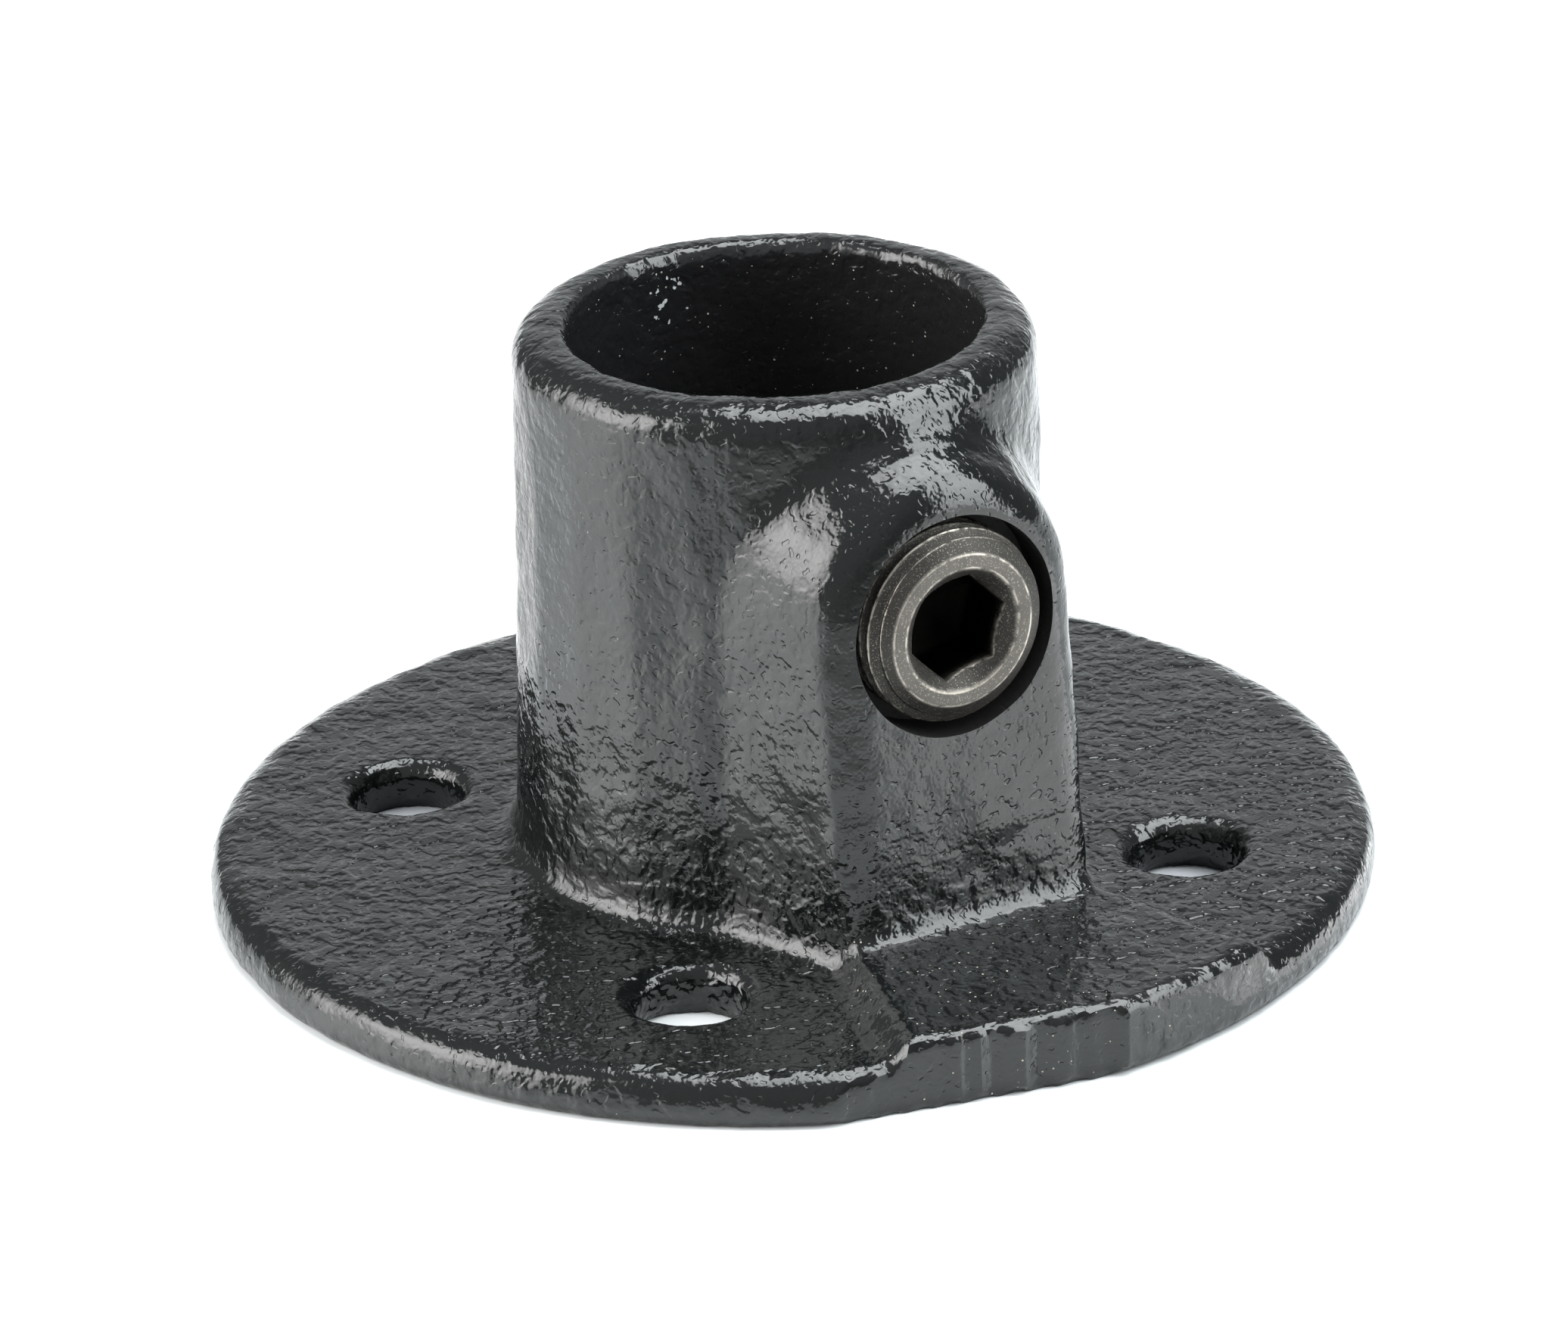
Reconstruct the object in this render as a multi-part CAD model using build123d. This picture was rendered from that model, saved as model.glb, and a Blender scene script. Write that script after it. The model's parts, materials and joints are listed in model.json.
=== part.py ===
from build123d import *
import os
from math import asin, atan2, cos, hypot, radians, sin, tan

# Base flange for a clamped steel tube: an iron sand casting and the set screw
# that grips the tube. Millimetres, +Z up, origin at the centre of the underside.
# The set screw lies along Y and its boss faces -Y.

# ---- driving dimensions -------------------------------------------------
# casting: foot
BORE_D = 35.0             # cast bore for a 33.7 mm (1 inch nominal) tube
FLANGE_D = 100.0
FLANGE_T = 4.2
FLANGE_TOP_R = 2.0        # rounding of the upper rim
FLANGE_FOOT_C = 0.5       # broken lower edge of the rim

HOLE_COUNT = 4            # fixing holes, the first of them HOLE_FIRST degrees from the boss
HOLE_D = 9.7
HOLE_PCD = 69.0
HOLE_FIRST = 45.0
HOLE_EDGE_R = 1.1         # rounding of the upper edge

# casting: collar round the tube
COLLAR_H = 50.5           # height over all
COLLAR_FOOT_D = 47.4      # outside diameter at the underside
COLLAR_TOP_D = 43.8       # and at the top, less by the mould's draft
RIM_OUTER_R = 2.8         # rounding of the top outer edge
RIM_INNER_C = 0.4         # broken inner edge

# casting: boss for the set screw
SCREW_Z = 32.3            # height of the set screw's axis
BOSS_FACE = 28.0          # boss face to the bore's axis, at the screw's height
BOSS_FACE_DRAFT = 3.0     # degrees, the face leans in towards the top
BOSS_ARCH_R = 11.2        # arch over the screw, at the face
BOSS_ARCH_RISE = 1.1      # centre of the arch above the screw's axis
BOSS_FOOT_HALF = 12.3     # half width of the face at the underside
BOSS_FLARE = 20.0         # degrees, sides and arch spread towards the collar
BOSS_EDGE_R = 3.0         # rounded border of the face
BOSS_VALLEY_R = 3.5       # where the boss runs into the collar
BOSS_BACK = 14.0          # back of the block, buried in the collar wall
BOSS_LEAD = 4.0           # the block is drawn this far ahead of its face, then cut back
MOUTH_D = 19.0            # plain recess round the set screw
MOUTH_DEPTH = 4.0

# casting: wedge between the boss and the rim
PAD_TOP = 6.4
PAD_BOSS_HALF = 10.5      # half width under the boss face
PAD_RIM_HALF = 17.5       # half width at the rim
PAD_SLOPE = 60.0          # degrees, its sides
PAD_EDGE_R = 0.7
PAD_FILLET_R = 2.5        # pad into the boss face
FOOT_FILLET_R = PAD_TOP - FLANGE_T

GATE_TURN = -13.0         # degrees from the boss to the ground-off casting gate
GATE_CHORD = 48.3         # ground flat to the bore's axis

# set screw, 3/8 inch pipe thread
THREAD_D = 16.66
THREAD_GAP = 0.05         # radial running clearance in the tapped hole
SCREW_LENGTH = 11.5
SCREW_PROUD = 1.1         # outer end stands this far beyond the boss face
SCREW_END_D = 13.2        # flat of each end, inside its chamfer
SCREW_CHAMFER = 1.2       # length of that chamfer along the screw
SOCKET_AF = 8.0           # hexagon socket across flats
SOCKET_DEPTH = 6.0
SOCKET_TURN = 14.0        # degrees from level to the nearest corner
SOCKET_MOUTH_D = 10.6     # countersink round the socket
CUP_D = 10.0              # hollow in the gripping tip
CUP_DEPTH = 1.0

REACH = 60.0              # beyond every section, for cutting tools

flange_r = FLANGE_D / 2
bore_r = BORE_D / 2
screw_face = BOSS_FACE + SCREW_PROUD


def facing_out(distance, height):
    """Plane square to the set screw's axis, looking out of the boss."""
    return Plane(origin=(0, -distance, height), x_dir=(1, 0, 0), z_dir=(0, -1, 0))


def rounded_corner(x, z, radius, flats, away=-1):
    """Points that round an upper corner (x, z) of an outline with equal flats.

    They bend towards the axis, or away from it where away is 1, as round a hole.
    """
    turns = [radians(90 * index / flats) for index in range(flats + 1)]
    return [(x + away * radius * (1 - cos(turn)), z - radius * (1 - sin(turn))) for turn in turns]


def rounded_disc(height, top_r):
    """Disc of the flange's outline, its upper rim rounded and its lower one broken."""
    outline = Polyline(
        (0, 0),
        (flange_r - FLANGE_FOOT_C, 0),
        (flange_r, FLANGE_FOOT_C),
        *rounded_corner(flange_r, height, top_r, 2),
        (0, height),
        close=True,
    )
    return revolve(Plane.XZ * make_face(outline), Axis.Z)


def collar():
    """Tapered outside of the tube collar, still without its bore."""
    draft = (COLLAR_FOOT_D - COLLAR_TOP_D) / 2 / COLLAR_H
    rim_r = COLLAR_TOP_D / 2 + RIM_OUTER_R * draft
    # the boss runs into the lower half of the rim's rounding, so that half is a true arc
    low, middle, high, flat, top = rounded_corner(rim_r, COLLAR_H, RIM_OUTER_R, 4)
    outline = Polyline((0, COLLAR_H), (0, 0), (COLLAR_FOOT_D / 2, 0), low)
    outline += ThreePointArc(low, middle, high)
    outline += Polyline(high, flat, top, (0, COLLAR_H))
    return revolve(Plane.XZ * make_face(outline), Axis.Z)


def boss():
    """Arched block that carries the set screw, flared back into the collar."""
    spread = BOSS_LEAD * tan(radians(BOSS_FLARE))
    arch_r = BOSS_ARCH_R - spread
    foot_half = BOSS_FOOT_HALF - spread
    arch_z = SCREW_Z + BOSS_ARCH_RISE
    # each side is the tangent from its foot to the arch, leaning in by this angle
    lean = atan2(foot_half, arch_z) - asin(arch_r / hypot(foot_half, arch_z))
    x = arch_r * cos(lean)
    z = arch_z + arch_r * sin(lean)
    outline = Polyline((x, z), (foot_half, 0), (-foot_half, 0), (-x, z))
    outline += ThreePointArc((-x, z), (0, arch_z + arch_r), (x, z))
    start = facing_out(BOSS_FACE + BOSS_LEAD, 0)
    depth = BOSS_FACE + BOSS_LEAD - BOSS_BACK
    block = extrude(start * make_face(outline), -depth, taper=-BOSS_FLARE)
    face = Plane(
        origin=(0, -BOSS_FACE, SCREW_Z),
        x_dir=(1, 0, 0),
        z_dir=(0, -cos(radians(BOSS_FACE_DRAFT)), sin(radians(BOSS_FACE_DRAFT))),
    )
    block = split(block, face, keep=Keep.BOTTOM)
    block = split(block, Plane.XY, keep=Keep.TOP)
    front = block.faces().sort_by(Axis.Y)[0]
    border = [edge for edge in front.edges() if edge.center().Z > 1]
    return fillet(border, BOSS_EDGE_R)


def pad():
    """Raised wedge that stiffens the flange in front of the boss, with sloping sides."""
    inner = BOSS_FACE - BOSS_EDGE_R
    low = FLANGE_T - FLANGE_TOP_R
    run = (PAD_TOP - low) / tan(radians(PAD_SLOPE))
    outline = Polyline(
        (-PAD_BOSS_HALF - run, -inner),
        (-PAD_RIM_HALF - run, -flange_r),
        (-PAD_RIM_HALF - run, -REACH),
        (PAD_RIM_HALF + run, -REACH),
        (PAD_RIM_HALF + run, -flange_r),
        (PAD_BOSS_HALF + run, -inner),
        (0, -bore_r),
        close=True,
    )
    wedge = extrude(Plane.XY.offset(low) * make_face(outline), PAD_TOP - low, taper=90 - PAD_SLOPE)
    return wedge & rounded_disc(PAD_TOP, PAD_EDGE_R)


def new_seam(first, second, both):
    """Edges where two fused solids meet, leaving out the underside."""
    return [edge for edge in new_edges(first, second, combined=both) if edge.center().Z > 1]


def raw_casting():
    """Flange, collar, boss and pad as they leave the mould, with their inner corners rounded."""
    tube_socket = collar()
    block = boss()
    body = tube_socket + block
    valley = new_seam(tube_socket, block, body)
    body = fillet(valley, BOSS_VALLEY_R)

    foot = rounded_disc(FLANGE_T, FLANGE_TOP_R)
    standing = foot + body
    standing = fillet(new_seam(foot, body, standing), FOOT_FILLET_R)

    wedge = pad()
    whole = standing + wedge
    front = [
        edge
        for edge in new_seam(standing, wedge, whole)
        if edge.center().Z > PAD_TOP - 0.1 and edge.center().Y > -BOSS_FACE - BOSS_LEAD
    ]
    return fillet(front, PAD_FILLET_R)


def round_edges(solid, radius, height):
    """Edges of the given circle size that lie at one height."""
    circles = solid.edges().filter_by(GeomType.CIRCLE)
    return [
        edge
        for edge in circles
        if abs(edge.radius - radius) < 0.01 and abs(edge.center().Z - height) < 0.01
    ]


def fixing_hole():
    """What a fixing hole takes out of the flange, with its rounded upper edge."""
    outline = Polyline(
        (0, 0),
        (HOLE_D / 2, 0),
        *rounded_corner(HOLE_D / 2, FLANGE_T, HOLE_EDGE_R, 2, away=1),
        (0, FLANGE_T),
        close=True,
    )
    return revolve(Plane.XZ * make_face(outline), Axis.Z)


def base_casting():
    """The casting, bored, drilled, tapped and with its gate ground off."""
    casting = raw_casting()
    casting -= extrude(Circle(bore_r), COLLAR_H)
    casting = chamfer(round_edges(casting, bore_r, COLLAR_H), RIM_INNER_C)

    drill = Pos(HOLE_PCD / 2, 0, 0) * fixing_hole()
    for index in range(HOLE_COUNT):
        angle = HOLE_FIRST + index * 360 / HOLE_COUNT
        casting -= Rot(0, 0, angle - 90) * drill

    tapped_r = THREAD_D / 2 + THREAD_GAP
    casting -= extrude(facing_out(0, SCREW_Z) * Circle(tapped_r), REACH)
    mouth = facing_out(BOSS_FACE - MOUTH_DEPTH, SCREW_Z) * Circle(MOUTH_D / 2)
    casting -= extrude(mouth, REACH)

    beyond_gate = Pos(0, -GATE_CHORD - REACH / 2, 0) * Box(REACH, REACH, REACH)
    return casting - Rot(0, 0, GATE_TURN) * beyond_gate


def set_screw():
    """Threaded plug with a hexagon socket outside and a hollow gripping tip."""
    radius = THREAD_D / 2
    end_r = SCREW_END_D / 2
    outline = Polyline(
        (0, 0),
        (end_r, 0),
        (radius, SCREW_CHAMFER),
        (radius, SCREW_LENGTH - SCREW_CHAMFER),
        (end_r, SCREW_LENGTH),
        (SOCKET_MOUTH_D / 2, SCREW_LENGTH),
        (0, SCREW_LENGTH - SOCKET_MOUTH_D / 2),
        close=True,
    )
    plug = revolve(Plane.XZ * make_face(outline), Axis.Z)
    across = RegularPolygon(SOCKET_AF / 2, 6, major_radius=False, rotation=SOCKET_TURN)
    plug -= extrude(Plane.XY.offset(SCREW_LENGTH - SOCKET_DEPTH) * across, SOCKET_DEPTH)
    plug -= Cone(CUP_D / 2, 0, CUP_DEPTH, align=(Align.CENTER, Align.CENTER, Align.MIN))
    return facing_out(screw_face - SCREW_LENGTH, SCREW_Z).location * plug


if __name__ == "__main__":
    os.makedirs("parts", exist_ok=True)
    export_step(base_casting(), "parts/base_casting.step")
    export_step(set_screw(), "parts/set_screw.step")
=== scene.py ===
# %% [markdown]
# # Base flange for a steel tube, dressed for a studio picture
# The CAD model holds the true sizes: an iron sand casting and one set screw.
# This notebook gives both their surfaces. The casting gets the soft corners and
# the rippled skin that a sand mould leaves under glossy black paint. The set
# screw gets its real pipe thread and the satin of turned steel.

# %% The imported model
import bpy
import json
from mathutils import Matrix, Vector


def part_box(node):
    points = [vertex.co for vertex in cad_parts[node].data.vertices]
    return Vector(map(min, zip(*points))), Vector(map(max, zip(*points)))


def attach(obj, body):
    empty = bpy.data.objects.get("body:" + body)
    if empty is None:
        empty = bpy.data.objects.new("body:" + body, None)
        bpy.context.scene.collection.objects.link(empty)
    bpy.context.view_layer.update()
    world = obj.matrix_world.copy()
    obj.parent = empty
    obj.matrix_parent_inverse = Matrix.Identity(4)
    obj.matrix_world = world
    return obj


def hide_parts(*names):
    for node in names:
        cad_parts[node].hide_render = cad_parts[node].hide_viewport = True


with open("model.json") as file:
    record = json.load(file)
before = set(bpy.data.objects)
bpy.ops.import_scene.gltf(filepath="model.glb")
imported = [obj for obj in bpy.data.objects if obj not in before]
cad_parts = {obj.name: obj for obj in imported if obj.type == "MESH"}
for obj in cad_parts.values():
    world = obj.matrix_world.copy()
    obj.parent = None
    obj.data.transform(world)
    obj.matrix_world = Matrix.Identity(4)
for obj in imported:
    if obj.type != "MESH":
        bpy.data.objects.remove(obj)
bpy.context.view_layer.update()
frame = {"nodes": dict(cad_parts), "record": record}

import json
from math import cos, pi, radians, sin

import bmesh
import bpy
import numpy as np
from mathutils import Matrix

MM = 0.001

# %% [markdown]
# ## Measures from the frame
# Nothing is placed by eye. The casting's box gives the flange and the height. The
# set screw's box gives its axis, its length and its thread, and the record's
# mounts give the bore. The screw lies along Y and looks towards -Y.

# %% Measures in millimetres
casting_high = np.array(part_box("base_casting")[1]) / MM
screw_low, screw_high = (np.array(corner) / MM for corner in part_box("set_screw"))
mounts = {mount["name"]: mount for mount in frame["record"]["mounts"]}
BORE_R = mounts["tube_bore"]["dims"]["r_mm"]
FLANGE_R, HEIGHT = casting_high[0], casting_high[2]
SCREW_Z = (screw_low[2] + screw_high[2]) / 2
SCREW_FACE = screw_low[1]
SCREW_LENGTH = screw_high[1] - screw_low[1]
THREAD_R = (screw_high[2] - screw_low[2]) / 2
print(f"flange radius {FLANGE_R:.2f}, height {HEIGHT:.2f}, bore radius {BORE_R:.2f}")
print(f"screw: axis at z {SCREW_Z:.2f}, face at y {SCREW_FACE:.2f}, radius {THREAD_R:.2f}")

# %% [markdown]
# ## Colours and nodes
# A colour picked on a screen is an sRGB value, while a render adds up light, so
# every hex colour goes through one function that turns it linear. A second small
# function adds a node, sets it and wires it in one line.

# %% Helpers for colours and nodes
def linear(colour):
    """Linear RGBA of an sRGB hex colour, by the sRGB curve."""
    channels = [int(colour[start : start + 2], 16) / 255 for start in (1, 3, 5)]
    return [c / 12.92 if c <= 0.04045 else ((c + 0.055) / 1.055) ** 2.4 for c in channels] + [1.0]


def add(tree, kind, inputs=None, **settings):
    """Add one node. An input is a plain value, or the node or socket that feeds it."""
    node = tree.nodes.new("ShaderNode" + kind)
    for name, value in settings.items():
        setattr(node, name, value)
    for key, value in (inputs or {}).items():
        if isinstance(value, bpy.types.Node):
            value = value.outputs[0]
        if isinstance(value, bpy.types.NodeSocket):
            tree.links.new(value, node.inputs[key])
        else:
            node.inputs[key].default_value = value
    return node


def new_material(name):
    """A material whose node tree is still empty, and that tree."""
    material = bpy.data.materials.new(name)
    material.use_nodes = True
    material.node_tree.nodes.clear()
    return material, material.node_tree


def per(length):
    """Texture scale, in repeats per metre, of a pattern with this spacing in millimetres."""
    return 1 / (length * MM)


def put_in_scene(name, data):
    """A new object at the origin that shows the given mesh or camera."""
    thing = bpy.data.objects.new(name, data)
    bpy.context.scene.collection.objects.link(thing)
    return thing


print("black paint #101214 in linear light:", [round(c, 4) for c in linear("#101214")[:3]])

# %% [markdown]
# ## Camera
# A long lens a short way above the bench: the flange's ellipse is then almost free
# of perspective. The camera aims at a point on the tube's axis and is turned a
# little about its own line of sight, as a hand-set tripod is.

# %% Camera
CAMERA_TURN, CAMERA_RISE, CAMERA_ROLL = radians(-30), radians(24.1), radians(2.13)
CAMERA_DISTANCE, CAMERA_LENS, AIM_HEIGHT = 648.8, 174.7, 20.0
AIM_RIGHT, AIM_UP = 0.107, 1.671    # the aim point from the picture's centre

back = np.array([
    sin(CAMERA_TURN) * cos(CAMERA_RISE), -cos(CAMERA_TURN) * cos(CAMERA_RISE), sin(CAMERA_RISE)
])
level = np.array([cos(CAMERA_TURN), sin(CAMERA_TURN), 0])
upright = np.cross(back, level)
right = cos(CAMERA_ROLL) * level - sin(CAMERA_ROLL) * upright
up = sin(CAMERA_ROLL) * level + cos(CAMERA_ROLL) * upright
station = np.array([0, 0, AIM_HEIGHT]) + CAMERA_DISTANCE * back - AIM_RIGHT * right - AIM_UP * up
lens = bpy.data.cameras.new("camera")
lens.sensor_width, lens.lens = 36, CAMERA_LENS
lens.clip_start, lens.clip_end = 0.01, 20
camera = put_in_scene("camera", lens)
pose = np.eye(4)
pose[:3] = np.column_stack([right, up, back, station * MM])
camera.matrix_world = Matrix(pose.tolist())
bpy.context.scene.camera = camera
print("camera stands at", np.round(station).tolist(), "mm")

# %% [markdown]
# ## Studio
# Gloss paint shows the room, not its own colour, so the lights are the picture.
# A softbox on the left gives the broad sheen on the collar and the boss's side. A
# tall one in front on the right lights the boss's arch. One overhead draws the
# bright line along every rounded edge and fillet.
#
# A softbox is a sheet of white cloth with a lamp behind it. Each is one glowing
# face, brightest in front of its lamp, and its light falls off towards its edges.

# %% The bench and the softboxes
SOFTBOX_AWAY = 1200.0


def flat_mesh(name, corners):
    """A flat mesh of one face through the given corners, in millimetres."""
    mesh = bpy.data.meshes.new(name)
    mesh.from_pydata((np.array(corners) * MM).tolist(), [], [list(range(len(corners)))])
    return mesh


def direction(azimuth, elevation):
    """Unit vector: azimuth 0 is -Y and 90 is +X, elevation is above the horizon."""
    a, e = radians(azimuth), radians(elevation)
    return np.array([sin(a) * cos(e), -cos(a) * cos(e), sin(e)])


def laid_sheet(name, corners, finish, colour, roughness):
    """A sheet that lies on the bench, in one plain finish."""
    sheet = put_in_scene(name, flat_mesh(name, corners))
    material, tree = new_material(finish)
    surface = add(tree, "BsdfPrincipled", {"Base Color": linear(colour), "Roughness": roughness})
    add(tree, "OutputMaterial", {"Surface": surface})
    sheet.data.materials.append(material)


def softbox(name, azimuth, elevation, width, height, radiance, colour,
            lean=0, hot=(0, 0), reach=800.0, far_share=0.3):
    """A glowing card that faces the part, its top leaning to the right by so many degrees.
    Its light falls smoothly from the hot spot to the far share at the given reach."""
    towards = direction(azimuth, elevation)
    level_side = np.cross([0.0, 0.0, 1.0], towards)
    level_side /= np.linalg.norm(level_side)
    rise = np.cross(towards, level_side)
    side = cos(radians(lean)) * level_side - sin(radians(lean)) * rise
    top = sin(radians(lean)) * level_side + cos(radians(lean)) * rise
    centre = SOFTBOX_AWAY * towards
    corners = [centre + x * width / 2 * side + y * height / 2 * top
               for x, y in ((-1, -1), (-1, 1), (1, 1), (1, -1))]
    card = put_in_scene(name, flat_mesh(name, corners))
    material, tree = new_material(name + "_cloth")
    place = add(tree, "NewGeometry").outputs["Position"]
    hot_spot = ((centre + hot[0] * side + hot[1] * top) * MM).tolist()
    distance = add(tree, "VectorMath", {0: place, 1: hot_spot}, operation="DISTANCE").outputs["Value"]
    glow = add(tree, "MapRange", {"Value": distance, "From Max": reach * MM, "To Min": radiance,
                                  "To Max": radiance * far_share}, interpolation_type="SMOOTHSTEP")
    cloth = add(tree, "Emission", {"Color": linear(colour), "Strength": glow})
    add(tree, "OutputMaterial", {"Surface": cloth})
    card.data.materials.append(material)
    card.visible_camera = False


bench = [(-3000, -3000, 0), (3000, -3000, 0), (3000, 3000, 0), (-3000, 3000, 0)]
laid_sheet("floor", bench, "white_acrylic", "#eceeef", roughness=0.22)
softbox("softbox_left", -110, 23.5, 1380, 1220, 11.0, "#f8f8f7",
        hot=(60, 100), reach=900, far_share=0.25)
softbox("softbox_right", 43, 27, 500, 1700, 9.8, "#f0f6f7",
        lean=13, hot=(0, 450), reach=1600, far_share=0.5)
softbox("softbox_top", 86, 76.8, 860, 1010, 10.0, "#f4f9fa",
        hot=(0, -150), far_share=0.75)
print("a white bench and three softboxes", SOFTBOX_AWAY, "mm away")

# %% [markdown]
# A photographer also lays cards on the bench for the paint to mirror. A black one
# in front darkens the foot of the collar and the boss. A white one on the right
# lights the boss's front and the ground patch, and a grey one lies behind. Only
# reflections see these three, and their glow stands for the light that falls on
# them. A grey sheet under the flange is painted shade: it darkens the white bench
# where it shows through the holes, and it stops short of the front hole.

# %% Cards, and a sheet of painted shade on the bench
CARD_FADE = 200.0       # a card's glow changes from its near value to its far one over this


def reflected_card(name, near, far, first, last, near_glow, far_glow):
    """A card flat on the bench that only reflections see. It covers the azimuths from the
    first to the last, between two distances, and its glow changes with the distance."""
    turns = np.linspace(first, last, 7)
    edge = [near * direction(turn, 0) for turn in turns]
    edge += [far * direction(turn, 0) for turn in turns[::-1]]
    card = put_in_scene(name, flat_mesh(name, np.array(edge) + (0, 0, 0.5)))
    paper, tree = new_material(name + "_paper")
    place = add(tree, "NewGeometry").outputs["Position"]
    distance = add(tree, "VectorMath", {0: place}, operation="LENGTH").outputs["Value"]
    shade = add(tree, "MapRange", {"Value": distance, "From Min": near * MM,
                                   "From Max": (near + CARD_FADE) * MM,
                                   "To Min": near_glow, "To Max": far_glow})
    glow = add(tree, "Emission", {"Color": linear("#f4f6f7"), "Strength": shade})
    add(tree, "OutputMaterial", {"Surface": glow})
    card.data.materials.append(paper)
    card.visible_camera = card.visible_shadow = card.visible_diffuse = False


reflected_card("black_card", 100, 1300, -58, 18, near_glow=1.5, far_glow=0.55)
reflected_card("white_card", 53, 700, 18, 62, near_glow=3.9, far_glow=3.2)
reflected_card("grey_card", 58, 700, 128, 205, near_glow=1.75, far_glow=1.75)

# Painted shade: a grey sheet under the flange darkens the bench seen through the holes.
painted_shade_edge = [44 * direction(azimuth, 0) for azimuth in range(-15, 286, 15)]
painted_shade_edge += [20 * direction(azimuth, 0) for azimuth in range(285, 346, 15)]
laid_sheet("painted_shade", np.array(painted_shade_edge) + (0, 0, 0.05), "painted_shade_grey", "#999b9f", roughness=0.9)
print("three cards and a piece of felt with", len(painted_shade_edge), "corners")

# %% [markdown]
# The walls are dim, which keeps the top of the flange black. Two parts of them
# glimmer: a broad one high on the left, and a small one low behind the part. Each
# is a patch of the world's own light, found by how near a direction lies to the
# patch's middle.

# %% Walls
WALL_GLIMMER = 0.28
WALL_PATCHES = (                        # azimuth, elevation, cosines of outside and full, strength
    (-75, 45, 0.1, 0.8, 0.34),
    (145, 12, 0.8, 0.97, 0.55),
)

world = bpy.data.worlds.new("dim_studio")
world.use_nodes = True
tree = world.node_tree
heading = add(tree, "TexCoord").outputs["Generated"]
glimmer = WALL_GLIMMER
for azimuth, elevation, outside, full, strength in WALL_PATCHES:
    middle = direction(azimuth, elevation).tolist()
    nearness = add(tree, "VectorMath", {0: heading, 1: middle}, operation="DOT_PRODUCT")
    wall = add(tree, "MapRange", {"Value": nearness.outputs["Value"], "From Min": outside,
                                  "From Max": full, "To Max": strength},
               interpolation_type="SMOOTHSTEP")
    glimmer = add(tree, "Math", {0: wall, 1: glimmer}, operation="ADD")
sky = tree.nodes["Background"]
sky.inputs["Color"].default_value = linear("#f4f8fa")
tree.links.new(glimmer.outputs[0], sky.inputs["Strength"])
bpy.context.scene.world = world
bpy.context.scene.view_settings.view_transform = "Standard"
print("walls at", WALL_GLIMMER, "with", len(WALL_PATCHES), "brighter patches")

# %% [markdown]
# ## The sand mould's skin
# Molten iron takes the print of the sand it is poured into. No face is quite flat,
# no corner is sharp, and the paint that follows rounds them further. The skin is
# therefore built in two sizes. Waves longer than the mesh's own squares move its
# points, so that the outline is uneven too. Finer ones are left to the paint's bump.
#
# A wave field is a sum of plane sine waves that run in random directions, with
# wavelengths near one length. It has no grid and no seams, and a fixed seed repeats
# it exactly.

# %% Waves and meshes as whole arrays
def waves(points, wavelength, seed, count=40):
    """Smooth noise of about unit size: the sum over random unit directions k of
    sin(2 pi k.p / length + phase), over the square root of half the count. The lengths
    are random too, from three quarters to four thirds of the wavelength."""
    chance = np.random.default_rng(seed)
    headings = chance.normal(size=(3, count))
    headings /= np.linalg.norm(headings, axis=0)
    lengths = wavelength * chance.uniform(0.75, 1.35, count)
    phases = chance.uniform(0, 2 * pi, count)
    return np.sin(2 * pi * (points @ headings) / lengths + phases).sum(axis=1) / np.sqrt(count / 2)


def read_points(mesh):
    """The mesh's points as an array of rows, in millimetres."""
    flat = np.empty(3 * len(mesh.vertices))
    mesh.vertices.foreach_get("co", flat)
    return flat.reshape(-1, 3) / MM


def write_points(mesh, points):
    """Puts the rows of points, in millimetres, back into the mesh."""
    mesh.vertices.foreach_set("co", (points * MM).ravel())
    mesh.update()


def read_normals(mesh):
    """The outward unit normal at each of the mesh's points."""
    flat = np.empty(3 * len(mesh.vertices))
    mesh.vertex_normals.foreach_get("vector", flat)
    return flat.reshape(-1, 3)


def step(low, high, values):
    """0 below low and 1 above high, with the smooth cubic 3t^2 - 2t^3 between them."""
    t = np.clip((values - low) / (high - low), 0, 1)
    return t * t * (3 - 2 * t)


print("waves of 9 mm at the origin:", waves(np.zeros((1, 3)), 9.0, 1).round(3))

# %% [markdown]
# ## Grids that go round the screw
# The set screw and the hole that it turns in share one axis, so both are grids of
# the same kind: rows along the axis, columns round it, closed by a fan at each end.
# They also share the thread. A 3/8 inch pipe thread has 19 turns to the inch and
# flanks at 55 degrees, and a sixth of the sharp V is taken off its crest and root.

# %% Closed grids and the thread
PITCH = 25.4 / 19
SHARP_V = 0.9605 * PITCH        # height of the full V, and what is left of it
THREAD_DEPTH = SHARP_V * 2 / 3
CREST_TURN = 0.66               # where round the screw a crest meets the end, in turns
SOCKET_TURN = radians(14)       # from level to the socket's nearest corner
AROUND = 192                    # columns, a multiple of six so that each corner has one

angle = SOCKET_TURN + 2 * pi * np.arange(AROUND) / AROUND


def thread(depth, angle):
    """Radius of the threaded bar. The height above the root is a V wave of the turns
    made, depth over pitch plus angle over a whole turn, with its top and bottom cut off."""
    turns = depth / PITCH + angle / (2 * pi) - CREST_TURN
    wave = np.abs(2 * (turns % 1) - 1)
    height = np.clip(wave * SHARP_V - SHARP_V / 6, 0, THREAD_DEPTH)
    return THREAD_R - THREAD_DEPTH + height


def between(first, last, count):
    """A column of evenly spaced rows, without the first value and with the last."""
    return np.linspace(first, last, count + 1)[1:, None]


def on_screw_axis(depth, radius, angle):
    """Points in the frame from depth below the screw's outer face, radius and angle."""
    x, z = radius * np.cos(angle), SCREW_Z + radius * np.sin(angle)
    return np.stack([x, SCREW_FACE + depth + 0 * x, z], axis=-1)


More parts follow.
